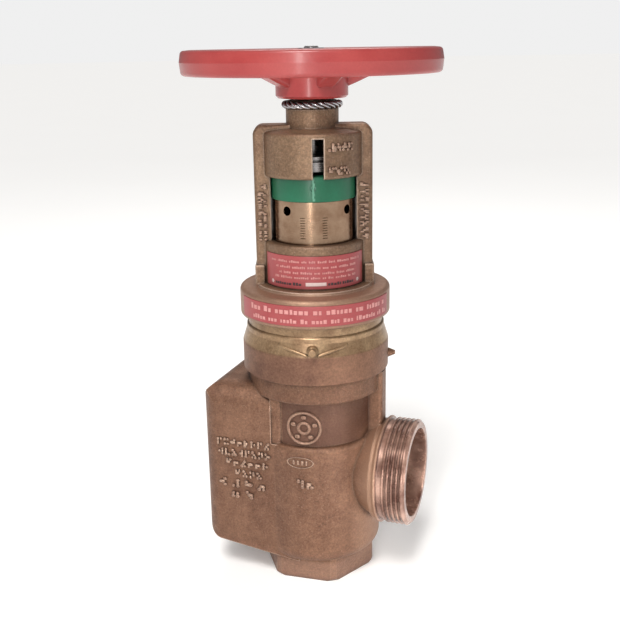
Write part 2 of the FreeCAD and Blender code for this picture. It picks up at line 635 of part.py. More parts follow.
# ---------------------------------------------------------------- output
NODES = {
    "valve_body": valve_body,
    "seat_ring": seat_ring,
    "seat_gasket": seat_gasket,
    "bonnet": bonnet,
    "lock_screw": lock_screw,
    "bonnet_gasket": bonnet_gasket,
    "piston_cylinder": piston_cylinder,
    "yoke": yoke,
    "stem_bush": stem_bush,
    "neck_seal_wire": neck_seal_wire,
    "cup_label": cup_label,
    "flange_label": flange_label,
    "main_spring": main_spring,
    "disc_seal": disc_seal,
    "disc_holder": disc_holder,
    "disc_retainer": disc_retainer,
    "centre_bolt": centre_bolt,
    "centre_nut": centre_nut,
    "piston": piston,
    "piston_guide_ring": piston_guide_ring,
    "piston_cup_seal": piston_cup_seal,
    "thrust_button": thrust_button,
    "lower_spring_washer": lower_spring_washer,
    "upper_spring_washer": upper_spring_washer,
    "thrust_washer": thrust_washer,
    "adjusting_sleeve": adjusting_sleeve,
    "setting_ring": setting_ring,
    "ring_screw": ring_screw,
    "sleeve_o_ring": sleeve_o_ring,
    "stem_o_ring": stem_o_ring,
    "stem": stem,
    "travel_indicator": travel_indicator,
    "handwheel": handwheel,
    "wheel_washer": wheel_washer,
    "wheel_nut": wheel_nut,
}

os.makedirs("parts", exist_ok=True)
for name, make in NODES.items():
    shape = make()
    state = "ok" if shape.isValid() and shape.Volume > 0 else "BAD"
    print(f"{name:22s} solids {len(shape.Solids)} volume {shape.Volume / 1000:9.2f} cm3 {state}")
    shape.exportStep(f"parts/{name}.step")
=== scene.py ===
import bmesh
import bpy
import math
import random
from mathutils import Matrix, Vector


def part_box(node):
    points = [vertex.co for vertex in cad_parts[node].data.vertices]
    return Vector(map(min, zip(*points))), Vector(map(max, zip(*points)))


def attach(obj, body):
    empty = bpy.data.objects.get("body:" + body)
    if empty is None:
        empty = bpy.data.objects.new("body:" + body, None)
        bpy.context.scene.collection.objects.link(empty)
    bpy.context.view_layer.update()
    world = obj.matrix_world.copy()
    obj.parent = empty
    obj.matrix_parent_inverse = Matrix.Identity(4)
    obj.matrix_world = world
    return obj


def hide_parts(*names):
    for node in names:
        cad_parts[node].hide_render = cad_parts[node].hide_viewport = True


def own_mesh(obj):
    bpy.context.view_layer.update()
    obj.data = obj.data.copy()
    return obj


# Looks for a bronze fire-hose angle valve. Metres, in the row's own frame: the origin is the
# centre of the inlet's bottom face, +Z runs up the stem and +X out of the outlet.

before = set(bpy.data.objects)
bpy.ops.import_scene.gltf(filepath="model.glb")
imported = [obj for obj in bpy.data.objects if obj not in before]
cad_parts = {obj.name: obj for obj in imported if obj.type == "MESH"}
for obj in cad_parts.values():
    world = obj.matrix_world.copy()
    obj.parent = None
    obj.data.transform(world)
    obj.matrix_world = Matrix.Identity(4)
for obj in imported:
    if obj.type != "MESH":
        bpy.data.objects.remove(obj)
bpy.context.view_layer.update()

MM = 0.001
YOKE_TURN = 20.0            # the yoke's legs stand this many degrees round from the outlet
FRONT = YOKE_TURN - 90.0    # direction that the yoke's front faces

# faces that carry marks or print
PASSAGE_FACE = 43.5 * MM
LEG_FACE = 10.0 * MM
THROAT_R = 42.8 * MM
BARREL_R = 47.0 * MM
CUP_R = 35.0 * MM
CUP_PLATE_R = 36.5 * MM
FLANGE_PLATE_R = 54.5 * MM
SUNK = 0.4 * MM             # how far a raised mark starts below its face
PRINT_SUNK = 0.12 * MM      # the same for a printed mark
EMBLEM_HEIGHT = 124.2 * MM
EMBLEM_SPOT_R = 8.2 * MM
OVAL_HEIGHT = 99.0 * MM
CUP_PLATE_FOOT = 227.9 * MM

# bonnet
BONNET_SKIRT_R = 53.2 * MM
BONNET_RIM_R = 50.2 * MM
CONE_BOTTOM = 180.0 * MM
CONE_TOP = 189.4 * MM
SCREW_ANGLE = -73.0

# main spring
SPRING_WIRE_R = 2.2 * MM
SPRING_MEAN_R = 24.2 * MM
SPRING_TURNS = 5

# where the metal changes its tone, as lowest and highest place along an axis; the recess band is
# painted shadow, the flare, hexagon and flange bands are painted light, and the two cut bands are real
# machining
RECESS_SHADOW_UP = (110.5 * MM, 143.5 * MM)
RECESS_SHADOW_ACROSS = (-12 * MM, 43.4 * MM)
LIT_FLARE_UP = (10 * MM, 118 * MM)
LIT_FLARE_ACROSS = (44 * MM, 90 * MM)
LIT_HEXAGON_UP = (-10 * MM, 15 * MM)
LIT_FLANGE_UP = (201 * MM, 222.6 * MM)
OUTLET_CUT = (55.2 * MM, 56.2 * MM)
BONNET_CUT = (179.6 * MM, 181.4 * MM)


# ---------------------------------------------------------------- colours and node helpers
def paint(red, green, blue):
    """Scene-linear colour from 0-255 display values."""
    out = []
    for value in (red, green, blue):
        value /= 255
        out.append(value / 12.92 if value <= 0.04045 else ((value + 0.055) / 1.055) ** 2.4)
    return (*out, 1.0)


class Look:
    """A Principled material whose colour, roughness and bump come from noise in object space."""

    def __init__(self, name, metallic, roughness, **sockets):
        self.material = bpy.data.materials.new(name)
        self.material.use_nodes = True
        self.tree = self.material.node_tree
        self.tree.nodes.clear()
        output = self.node("ShaderNodeOutputMaterial")
        self.shader = self.node("ShaderNodeBsdfPrincipled")
        self.link(self.shader.outputs["BSDF"], output.inputs["Surface"])
        self.shader.inputs["Metallic"].default_value = metallic
        self.shader.inputs["Roughness"].default_value = roughness
        for key, value in sockets.items():
            self.shader.inputs[key.replace("_", " ")].default_value = value
        self.place = self.node("ShaderNodeTexCoord").outputs["Object"]

    def node(self, kind, **settings):
        made = self.tree.nodes.new(kind)
        for key, value in settings.items():
            setattr(made, key, value)
        return made

    def link(self, source, target):
        self.tree.links.new(source, target)

    def stretched(self, scale):
        """Object coordinates scaled per axis, for grain that runs one way."""
        mapping = self.node("ShaderNodeMapping")
        mapping.inputs["Scale"].default_value = scale
        self.link(self.place, mapping.inputs["Vector"])
        return mapping.outputs["Vector"]

    def noise(self, scale, detail=4.0, roughness=0.55, place=None):
        made = self.node("ShaderNodeTexNoise")
        made.inputs["Scale"].default_value = scale
        made.inputs["Detail"].default_value = detail
        made.inputs["Roughness"].default_value = roughness
        self.link(place or self.place, made.inputs["Vector"])
        return made.outputs["Fac"]

    def cells(self, scale):
        made = self.node("ShaderNodeTexVoronoi")
        made.inputs["Scale"].default_value = scale
        self.link(self.place, made.inputs["Vector"])
        return made.outputs["Distance"]

    def spread(self, value, low, high, to_low=0.0, to_high=1.0):
        """Value mapped from low..high to to_low..to_high and kept inside them."""
        made = self.node("ShaderNodeMapRange")
        limits = {"From Min": low, "From Max": high, "To Min": to_low, "To Max": to_high}
        for key, number in limits.items():
            made.inputs[key].default_value = number
        self.link(value, made.inputs["Value"])
        return made.outputs["Result"]

    def math(self, operation, first, second):
        made = self.node("ShaderNodeMath", operation=operation)
        for socket, value in zip(made.inputs, (first, second)):
            if isinstance(value, (int, float)):
                socket.default_value = value
            else:
                self.link(value, socket)
        return made.outputs["Value"]

    def mix(self, factor, first, second, blend="MIX"):
        """Colour mix; each colour is a tuple or a socket."""
        made = self.node("ShaderNodeMix", data_type="RGBA", blend_type=blend)
        if isinstance(factor, (int, float)):
            made.inputs[0].default_value = factor
        else:
            self.link(factor, made.inputs[0])
        for socket, value in ((made.inputs[6], first), (made.inputs[7], second)):
            if isinstance(value, tuple):
                socket.default_value = value
            else:
                self.link(value, socket)
        return made.outputs[2]

    def grey(self, value):
        """A value spread over the three colour channels."""
        made = self.node("ShaderNodeCombineColor")
        for socket in made.inputs[:3]:
            self.link(value, socket)
        return made.outputs["Color"]

    def shade(self, colour, value):
        """Colour times a value."""
        return self.mix(1.0, colour, self.grey(value), "MULTIPLY")

    def along(self, axis):
        """Distance along one of the object's axes, in metres."""
        parts = self.node("ShaderNodeSeparateXYZ")
        self.link(self.place, parts.inputs[0])
        return parts.outputs[axis]

    def edges(self, radius, low=0.03, high=0.30):
        """Near 1 on outer edges, where rubbed wear and painted highlights go, 0 on open faces, and the
        rounded normal itself.
        """
        rounded = self.node("ShaderNodeBevel", samples=6)
        rounded.inputs["Radius"].default_value = radius
        flat = self.node("ShaderNodeNewGeometry").outputs["Normal"]
        dot = self.node("ShaderNodeVectorMath", operation="DOT_PRODUCT")
        self.link(rounded.outputs["Normal"], dot.inputs[0])
        self.link(flat, dot.inputs[1])
        edge_wear_and_highlight = self.math("SUBTRACT", 1.0, dot.outputs["Value"])
        return self.spread(edge_wear_and_highlight, low, high), rounded.outputs["Normal"]

    def hollow(self, distance):
        """1 on open surfaces, lower in corners and recesses."""
        made = self.node("ShaderNodeAmbientOcclusion", samples=8)
        made.inputs["Distance"].default_value = distance
        return made.outputs["AO"]

    def colour(self, socket):
        self.link(socket, self.shader.inputs["Base Color"])

    def rough(self, socket):
        self.link(socket, self.shader.inputs["Roughness"])

    def bump(self, height, strength, distance, normal=None):
        made = self.node("ShaderNodeBump")
        made.inputs["Strength"].default_value = strength
        made.inputs["Distance"].default_value = distance
        self.link(height, made.inputs["Height"])
        if normal is not None:
            self.link(normal, made.inputs["Normal"])
        self.link(made.outputs["Normal"], self.shader.inputs["Normal"])


def paler(colour, gain, lift=0.0):
    """A lighter tone of a colour, kept inside the range."""
    return tuple(min(1.0, value * gain + lift) for value in colour[:3]) + (1.0,)


# ---------------------------------------------------------------- materials
def cast_metal(name, dark, middle, light, edge, grain=1.0, metallic=0.45, rub_and_highlight=0.16):
    """Sand-cast bronze: brown skin with a fine sandy speckle, small pits, paler edges that are partly
    rubbed wear and partly painted highlight, and painted shade in corners.
    """
    look = Look(name, metallic, 0.5)
    blotch = look.spread(look.noise(16, 3), 0.40, 0.62)
    cloud = look.spread(look.noise(130, 6, 0.66), 0.30, 0.72)
    speck = look.noise(620, 6, 0.78)
    skin = look.mix(look.math("MULTIPLY", blotch, 0.8), dark, middle)
    skin = look.mix(look.math("MULTIPLY", cloud, 0.38), skin, light)
    skin = look.shade(skin, look.spread(speck, 0.34, 0.66, 0.62, 1.34))
    glint = look.spread(look.noise(1100, 3, 0.5), 0.60, 0.72, 0.0, 0.16)
    skin = look.mix(glint, skin, edge)
    # paler edges: partly rubbed wear, partly painted highlight where light would catch the fillets
    edge_wear_and_highlight, rounded = look.edges(1.6 * MM, 0.01, rub_and_highlight)
    edge_wear_and_highlight = look.math("MULTIPLY", edge_wear_and_highlight, look.spread(cloud, 0.0, 1.0, 0.55, 1.0))
    edge_wear_and_highlight = look.math("MULTIPLY", edge_wear_and_highlight, look.spread(look.hollow(2.5 * MM), 0.62, 0.92))
    skin = look.mix(look.math("MULTIPLY", edge_wear_and_highlight, 0.85), skin, edge)
    # painted shade: darker in corners and recesses
    painted_shade = look.spread(look.hollow(5 * MM), 0.30, 0.90, 0.24, 1.0)
    look.colour(look.shade(skin, painted_shade))
    look.rough(look.spread(cloud, 0.0, 1.0, 0.52, 0.38))
    pits = look.spread(look.cells(640), 0.0, 0.30, 0.0, 1.0)
    coarse = look.math("MULTIPLY", look.noise(520, 5, 0.65), 0.8)
    sand = look.math("ADD", coarse, look.math("MULTIPLY", speck, 0.6))
    relief = look.math("ADD", sand, look.math("MULTIPLY", pits, 0.3))
    look.bump(relief, 0.9 * grain, 0.45 * MM, rounded)
    return look


def turned_metal(name, base, tint, roughness, line_scale, streak=0.0, reach=5 * MM):
    """Lathe-turned metal: faint rings round the stem axis, slight staining, paler edges that are partly
    wear and partly painted highlight, and painted shade in the corners.
    """
    look = Look(name, 1.0, roughness, Anisotropic=streak)
    rings = look.noise(1.0, 3, 0.6, look.stretched((18, 18, line_scale)))
    stain = look.spread(look.noise(60, 5, 0.6), 0.35, 0.7)
    colour = look.mix(stain, base, tint)
    colour = look.shade(colour, look.spread(rings, 0.3, 0.7, 0.88, 1.10))
    edge_wear_and_highlight, rounded = look.edges(0.35 * MM)
    colour = look.mix(look.math("MULTIPLY", edge_wear_and_highlight, 0.35), colour, paler(base, 1.35))
    # painted shade: darker in corners, out to the given reach
    look.colour(look.shade(colour, look.spread(look.hollow(reach), 0.3, 0.95, 0.40, 1.0)))
    look.rough(look.spread(rings, 0.3, 0.7, roughness - 0.05, roughness + 0.07))
    look.bump(rings, 0.12, 0.12 * MM, rounded)
    if streak:
        tangent = look.node("ShaderNodeTangent", direction_type="RADIAL", axis="Z")
        look.link(tangent.outputs["Tangent"], look.shader.inputs["Tangent"])
    return look


def enamel(name, base, faded, roughness, coat=0.35):
    """Brushed enamel over metal: orange peel, slight fading, paler edges that are partly worn paint and
    partly painted highlight, and painted shade in corners.
    """
    look = Look(name, 0.0, roughness, Coat_Weight=coat, Coat_Roughness=0.18)
    fade = look.spread(look.noise(38, 4), 0.35, 0.68)
    colour = look.mix(fade, base, faded)
    dust = look.spread(look.noise(700, 5, 0.7), 0.3, 0.7, 0.93, 1.06)
    colour = look.shade(colour, dust)
    edge_wear_and_highlight, rounded = look.edges(0.8 * MM)
    colour = look.mix(look.math("MULTIPLY", edge_wear_and_highlight, 0.5), colour, paler(base, 1.25, 0.02))
    # painted shade: darker in corners and recesses
    look.colour(look.shade(colour, look.spread(look.hollow(8 * MM), 0.3, 0.95, 0.45, 1.0)))
    look.rough(look.spread(fade, 0.0, 1.0, roughness - 0.05, roughness + 0.08))
    look.bump(look.noise(330, 3, 0.5), 0.16, 0.25 * MM, rounded)
    return look


def soft_part(name, base, roughness):
    """Rubber, gasket or plastic with a fine mould texture."""
    look = Look(name, 0.0, roughness)
    cloud = look.spread(look.noise(140, 5), 0.3, 0.7, 0.82, 1.12)
    look.colour(look.shade(base, cloud))
    look.rough(look.spread(look.noise(420, 4), 0.3, 0.7, roughness - 0.08, roughness + 0.08))
    look.bump(look.noise(1500, 3), 0.2, 0.1 * MM)
    return look


BODY_DARK = paint(102, 69, 52)
BODY_MIDDLE = paint(127, 91, 70)
BODY_LIGHT = paint(156, 118, 93)
BODY_EDGE = paint(228, 194, 170)
# the low last value makes its paler edges, partly rubbed wear and partly painted highlight, show
# strongly
yoke_bronze = cast_metal("cast_bronze_yoke", paint(112, 84, 66), paint(138, 110, 86),
                         paint(162, 134, 106), paint(248, 224, 204), 0.6, 0.5, 0.045)
# painted highlight: a paler copy of the cast bronze, so the raised marks read lighter, as if catching
# light
lit_mark_bronze = cast_metal("cast_bronze_marks", paint(126, 92, 76), paint(150, 114, 94),
                        paint(176, 140, 116), paint(244, 214, 190), 0.3, rub_and_highlight=0.09)
bright_bronze = turned_metal("turned_bronze", paint(176, 144, 98), paint(148, 116, 80), 0.34, 5200)
# the wide reach spreads painted shade over the sleeve's sides beside the yoke's legs
sleeve_brass = turned_metal("turned_brass", paint(172, 144, 120), paint(130, 98, 76), 0.19, 7000,
                            streak=0.4, reach=22 * MM)
bright_steel = turned_metal("bright_steel", paint(186, 182, 180), paint(150, 146, 146), 0.27, 5200,
                            streak=0.3)
dark_steel = turned_metal("tempered_steel", paint(92, 90, 94), paint(66, 64, 70), 0.36, 900)
wire_steel = turned_metal("wire_steel", paint(206, 204, 206), paint(150, 148, 154), 0.22, 400)
wheel_red = enamel("red_enamel", paint(162, 56, 56), paint(173, 68, 66), 0.38)
ring_green = enamel("green_enamel", paint(16, 100, 69), paint(26, 114, 81), 0.40, 0.12)
plate_red = enamel("red_plate", paint(158, 60, 63), paint(166, 74, 75), 0.42, 0.2)
print_pale = enamel("pale_print", paint(216, 150, 146), paint(206, 136, 132), 0.5, 0.1)
print_white = enamel("white_print", paint(226, 204, 200), paint(212, 186, 182), 0.5, 0.1)
print_black = enamel("black_print", paint(48, 34, 38), paint(64, 46, 50), 0.5, 0.1)
line_paint = enamel("pale_green_paint", paint(104, 168, 140), paint(84, 150, 120), 0.45, 0.1)
black_rubber = soft_part("black_rubber", paint(38, 38, 40), 0.62)
pale_plastic = soft_part("bearing_plastic", paint(214, 210, 196), 0.5)
fibre_gasket = soft_part("fibre_gasket", paint(96, 104, 98), 0.8)


def bonnet_metal():
    """The bonnet: rough cast skirt below, turned cone and rim above the line where the tool stopped."""
    look = Look("bonnet_bronze", 0.6, 0.4)
    cloud = look.spread(look.noise(95, 6, 0.62), 0.34, 0.70)
    speck = look.noise(620, 6, 0.76)
    cast = look.mix(look.spread(look.noise(16, 3), 0.40, 0.62), paint(108, 76, 62), paint(136, 100, 80))
    cast = look.mix(look.math("MULTIPLY", cloud, 0.4), cast, BODY_LIGHT)
    cut = look.mix(cloud, paint(142, 112, 84), paint(182, 152, 118))
    wander = look.spread(look.noise(60, 3), 0.0, 1.0, -0.8 * MM, 0.8 * MM)
    turned = look.spread(look.math("ADD", look.along("Z"), wander), *BONNET_CUT)
    colour = look.mix(turned, cast, cut)
    colour = look.shade(colour, look.spread(speck, 0.34, 0.66, 0.70, 1.26))
    # paler edges are partly rubbed wear and partly painted highlight; the step after paints shade into
    # corners and recesses
    edge_wear_and_highlight, rounded = look.edges(0.8 * MM)
    colour = look.mix(look.math("MULTIPLY", edge_wear_and_highlight, 0.6), colour, paint(232, 202, 160))
    look.colour(look.shade(colour, look.spread(look.hollow(6 * MM), 0.30, 0.92, 0.26, 1.0)))
    look.rough(look.spread(turned, 0.0, 1.0, 0.50, 0.34))
    rings = look.noise(1.0, 3, 0.6, look.stretched((18, 18, 4200)))
    sand = look.math("ADD", look.noise(420, 5, 0.65), look.math("MULTIPLY", speck, 0.5))
    rough_skin = look.math("MULTIPLY", sand, look.spread(turned, 0.0, 1.0, 1.0, 0.18))
    look.bump(look.math("ADD", rough_skin, look.math("MULTIPLY", rings, 0.10)), 0.5, 0.3 * MM, rounded)
    return look


def band(look, axis, low, high, soft=1.0 * MM):
    """1 between two places along an axis of the object and 0 outside them."""
    place = look.along(axis)
    rise = look.spread(place, low - soft, low + soft)
    fall = look.spread(place, high - soft, high + soft, 1.0, 0.0)
    return look.math("MULTIPLY", rise, fall)


def retone(look, mask, amount, tone):
    """Shift the colour part of the way to a tone inside a mask."""
    old = look.shader.inputs["Base Color"].links[0].from_socket
    look.colour(look.mix(look.math("MULTIPLY", mask, amount), old, tone))


def body_metal():
    """The body: cast skin everywhere except the machined hose outlet and its bore."""
    look = cast_metal("cast_bronze_valve_body", BODY_DARK, BODY_MIDDLE, BODY_LIGHT, BODY_EDGE)
    # painted shadow: the throat's recess under the collar darkened as if in the collar's shade
    recess_shadow = look.math("MULTIPLY", band(look, "Z", *RECESS_SHADOW_UP),
                       band(look, "X", *RECESS_SHADOW_ACROSS, 0.3 * MM))
    retone(look, recess_shadow, 0.60, paint(84, 55, 45))
    # painted light: the flare by the outlet made paler, as if lit from the right
    lit_flare = look.math("MULTIPLY", band(look, "X", *LIT_FLARE_ACROSS, 9 * MM),
                      band(look, "Z", *LIT_FLARE_UP, 4 * MM))
    retone(look, lit_flare, 0.62, paint(194, 154, 128))
    # painted light: the hexagon at the foot made paler, as if lit from the pale floor
    retone(look, band(look, "Z", *LIT_HEXAGON_UP, 2 * MM), 0.20, paint(196, 160, 142))
    cast_colour = look.shader.inputs["Base Color"].links[0].from_socket
    machined = look.spread(look.along("X"), *OUTLET_CUT)
    rings = look.noise(1.0, 3, 0.6, look.stretched((5200, 18, 18)))
    cut = look.mix(look.spread(look.noise(70, 4), 0.3, 0.7), paint(116, 80, 68), paint(204, 166, 148))
    cut = look.shade(cut, look.spread(rings, 0.3, 0.7, 0.90, 1.08))
    # painted shade: darker in the thread's grooves
    cut = look.shade(cut, look.spread(look.hollow(2.4 * MM), 0.38, 0.80, 0.12, 1.0))
    look.colour(look.mix(machined, cast_colour, cut))
    cast_rough = look.shader.inputs["Roughness"].links[0].from_socket
    look.rough(look.math("SUBTRACT", cast_rough, look.math("MULTIPLY", machined, 0.2)))
    bump = look.shader.inputs["Normal"].links[0].from_node
    relief = bump.inputs["Height"].links[0].from_socket
    calm = look.math("MULTIPLY", relief, look.spread(machined, 0.0, 1.0, 1.0, 0.12))
    look.link(calm, bump.inputs["Height"])
    return look


valve_bronze = body_metal()
# painted light: the yoke's flange made paler, as if its top caught more light
retone(yoke_bronze, band(yoke_bronze, "Z", *LIT_FLANGE_UP), 0.34, paint(190, 146, 126))
bonnet_bronze = bonnet_metal()

NODE_LOOKS = {
    "valve_body": valve_bronze,
    "bonnet": bonnet_bronze,
    "yoke": yoke_bronze,
    "lock_screw": bonnet_bronze,
    "stem_bush": sleeve_brass,
    "cup_label": plate_red,
    "flange_label": plate_red,
    "adjusting_sleeve": sleeve_brass,
    "setting_ring": ring_green,
    "ring_screw": line_paint,
    "handwheel": wheel_red,
    "stem": bright_steel,
    "travel_indicator": bright_steel,
    "wheel_washer": bright_steel,
    "wheel_nut": dark_steel,
    "main_spring": dark_steel,
    "centre_bolt": bright_steel,
    "centre_nut": bright_steel,
    "thrust_button": bright_steel,
    "lower_spring_washer": dark_steel,
    "upper_spring_washer": dark_steel,
    "thrust_washer": pale_plastic,
    "piston_guide_ring": pale_plastic,
    "seat_gasket": fibre_gasket,
    "bonnet_gasket": fibre_gasket,
    "disc_seal": black_rubber,
    "piston_cup_seal": black_rubber,
    "sleeve_o_ring": black_rubber,
    "stem_o_ring": black_rubber,
}
for node_name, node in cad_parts.items():
    chosen = NODE_LOOKS.get(node_name, bright_bronze).material
    node.data.materials.clear()
    node.data.materials.append(chosen)


# ---------------------------------------------------------------- mesh helpers
def make_piece(name, points, faces, look, body, smooth=True):
    """A new piece from closed shapes, with its faces turned outward."""
    mesh = bpy.data.meshes.new(name)
    mesh.from_pydata(points, [], faces)
    mesh.validate()
    closed = bmesh.new()
    closed.from_mesh(mesh)
    bmesh.ops.recalc_face_normals(closed, faces=closed.faces)
    closed.to_mesh(mesh)
    closed.free()
    mesh.polygons.foreach_set("use_smooth", [smooth] * len(mesh.polygons))
    piece = bpy.data.objects.new(name, mesh)
    bpy.context.scene.collection.objects.link(piece)
    mesh.materials.append(look.material)
    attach(piece, body)
    return piece


def on_cylinder(radius, centre_angle):
    """Maps (along, up, out) to a point on a cylinder about the stem axis."""
    def place(along, up, out):
        angle = math.radians(centre_angle) + along / radius
        return Vector(((radius + out) * math.cos(angle), (radius + out) * math.sin(angle), up))
    return place


def on_plane(origin, along_axis, out_axis):
    """Maps (along, up, out) to a point on an upright plane."""
    def place(along, up, out):
        return origin + along_axis * along + Vector((0, 0, up)) + out_axis * out
    return place


def raised_block(points, faces, place, along, up, width, tall, lift):
    """One raised block with a rounded outline and a softened top, as a casting pattern leaves."""
    corner = min(width, tall) * 0.42
    outline = []
    for quarter, (right, top) in enumerate(((1, 1), (-1, 1), (-1, -1), (1, -1))):
        for step in range(4):
            angle = math.radians(90 * quarter + 30 * step)
            outline.append((right * (width / 2 - corner) + corner * math.cos(angle),
                            top * (tall / 2 - corner) + corner * math.sin(angle)))
    count = len(outline)
    start = len(points)
    for out, shrink in ((-SUNK, 1.0), (lift * 0.45, 1.0), (lift * 0.85, 0.86), (lift, 0.62)):
        for across, high in outline:
            points.append(place(along + across * shrink, up + high * shrink, out))
    for level in range(3):
        for step in range(count):
            a = start + level * count + step
            b = start + level * count + (step + 1) % count
            faces.append((a, b, b + count, a + count))
    faces.append(tuple(start + 3 * count + step for step in range(count)))
    faces.append(tuple(start + step for step in reversed(range(count))))


def raised_ring(points, faces, place, along, up, radius, thick, lift, squeeze=1.0, steps=56):
    """A raised round bead; squeeze flattens it into an oval."""
    start = len(points)
    profile = []
    for step in range(7):
        angle = math.pi * step / 6
        profile.append((thick / 2 * math.cos(angle), lift * math.sin(angle)))
    profile = [(thick / 2, -SUNK)] + profile + [(-thick / 2, -SUNK)]
    count = len(profile)
    for step in range(steps):
        angle = 2 * math.pi * step / steps
        for across, out in profile:
            reach = radius + across
            points.append(place(along + reach * math.cos(angle),
                                up + reach * squeeze * math.sin(angle), out))
    for step in range(steps):
        for ring in range(count):
            a = start + step * count + ring
            b = start + step * count + (ring + 1) % count
            c = start + (step + 1) % steps * count + (ring + 1) % count
            d = start + (step + 1) % steps * count + ring
            faces.append((a, b, c, d))


def printed_patch(points, faces, place, along, up, width, tall, lift=0.06 * MM):
    """A thin closed patch that follows a curved plate."""
    columns = max(1, int(width / (1.2 * MM)) + 1)
    start = len(points)
    for column in range(columns + 1):
        across = along - width / 2 + width * column / columns
        for out in (-PRINT_SUNK, lift):
            for high in (up - tall / 2, up + tall / 2):
                points.append(place(across, high, out))
    for column in range(columns):
        a = start + 4 * column
        b = a + 4
        faces.append((a + 2, b + 2, b + 3, a + 3))
        faces.append((a, a + 1, b + 1, b))
        faces.append((a, b, b + 2, a + 2))
        faces.append((a + 1, a + 3, b + 3, b + 1))
    end = start + 4 * columns
    faces.append((start, start + 2, start + 3, start + 1))
    faces.append((end, end + 1, end + 3, end + 2))


# ---------------------------------------------------------------- twisted tamper wire
def tamper_wire():
    """Three strands twisted into a ring that fills the plain ring's section."""
    low, high = (Vector(corner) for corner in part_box("neck_seal_wire"))
    section = (high.z - low.z) / 2
    ring = (high.x - low.x) / 2 - section
    middle = (high.z + low.z) / 2
    strands, twists, sides, steps = 3, 8, 12, 420
    strand = section * 0.47
    offset = section - strand
    for number in range(strands):
        centres = []
        for step in range(steps):
            turn = 2 * math.pi * step / steps
            phase = -twists * turn + 2 * math.pi * number / strands
            reach = ring + offset * math.cos(phase)
            centres.append(Vector((reach * math.cos(turn), reach * math.sin(turn),
                                   middle + offset * math.sin(phase))))
        points, faces = [], []
        for step in range(steps):
            ahead = (centres[(step + 1) % steps] - centres[step - 1]).normalized()
            outward = Vector((centres[step].x, centres[step].y, 0)).normalized()
            upward = ahead.cross(outward).normalized()
            outward = upward.cross(ahead)
            for side in range(sides):
                angle = 2 * math.pi * side / sides
                around = math.cos(angle) * outward + math.sin(angle) * upward
                points.append(centres[step] + strand * around)
        for step in range(steps):
            for side in range(sides):
                a = step * sides + side
                b = step * sides + (side + 1) % sides
                c = (step + 1) % steps * sides + (side + 1) % sides
                d = (step + 1) % steps * sides + side
                faces.append((a, d, c, b))
        piece = make_piece(f"tamper_wire_strand_{number + 1}", points, faces, wire_steel,
                           "valve_and_yoke")
        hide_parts("neck_seal_wire")


# ---------------------------------------------------------------- main spring
def spring_half(name, first_turn, last_turn):
    """Part of the coil as a closed tube."""
    low, high = (Vector(corner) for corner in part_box("main_spring"))
    rise = (high.z - low.z - 2 * SPRING_WIRE_R) / SPRING_TURNS
    sides, steps = 12, 110
    points, faces = [], []
    for step in range(steps + 1):
        turn = first_turn + (last_turn - first_turn) * step / steps
        angle = 2 * math.pi * turn
        outward = Vector((math.cos(angle), math.sin(angle), 0))
        centre = SPRING_MEAN_R * outward + Vector((0, 0, low.z + SPRING_WIRE_R + rise * turn))
        slope = rise / (2 * math.pi * SPRING_MEAN_R)
        upward = Vector((-math.sin(angle), math.cos(angle), slope)).normalized().cross(outward)
        for side in range(sides):
            round_wire = 2 * math.pi * side / sides
            around = math.cos(round_wire) * outward + math.sin(round_wire) * upward
            points.append(centre + SPRING_WIRE_R * around)
    for step in range(steps):
        for side in range(sides):
            beside = (side + 1) % sides
            faces.append((step * sides + side, (step + 1) * sides + side,
                          (step + 1) * sides + beside, step * sides + beside))
    faces.append(tuple(range(steps * sides, (steps + 1) * sides)))
    faces.append(tuple(reversed(range(sides))))
    piece = make_piece(name, points, faces, dark_steel, "valve_and_yoke")
    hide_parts("main_spring")
    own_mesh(piece)


# ---------------------------------------------------------------- raised casting marks
def passage_marks():
    """Rows of raised blocks on the flat front of the side passage."""
    place = on_plane(Vector((0, -PASSAGE_FACE, 0)), Vector((1, 0, 0)), Vector((0, -1, 0)))
    draw = random.Random(11)
    points, faces = [], []
    small_rows = ((106.6, -60.8, -23.4, 8), (98.6, -60.0, -23.0, 8),
                  (90.6, -54.0, -25.0, 6), (82.4, -47.0, -30.0, 4))
    large_rows = ((74.0, -59.5, -28.5, 4), (65.6, -49.6, -38.4, 2))
    for rows, width, tall, lift in ((small_rows, 4.2, 5.6, 1.5), (large_rows, 6.0, 6.8, 1.6)):
        for high, first, last, count in rows:
            for number in range(count):
                centre = first + (last - first) * number / (count - 1)
                glyph(points, faces, place, centre * MM, high * MM,
                      width * MM, tall * MM, lift * MM, draw)
    make_piece("passage_cast_marks", points, faces, lit_mark_bronze, "valve_and_yoke")


def glyph(points, faces, place, along, up, width, tall, lift, draw):
    """A few raised strokes and dots that stand for a cast character and spell nothing."""
    spots = [(-0.28, 0.32), (0.28, 0.32), (-0.28, -0.32), (0.28, -0.32),
             (0.0, 0.0), (-0.28, 0.0), (0.28, 0.0)]
    draw.shuffle(spots)
    for across, high in spots[:4]:
        wide = width * draw.uniform(0.36, 0.56)
        deep = tall * draw.uniform(0.30, 0.46)
        raised_block(points, faces, place, along + across * width, up + high * tall, wide, deep,
                     lift * draw.uniform(0.75, 1.0))


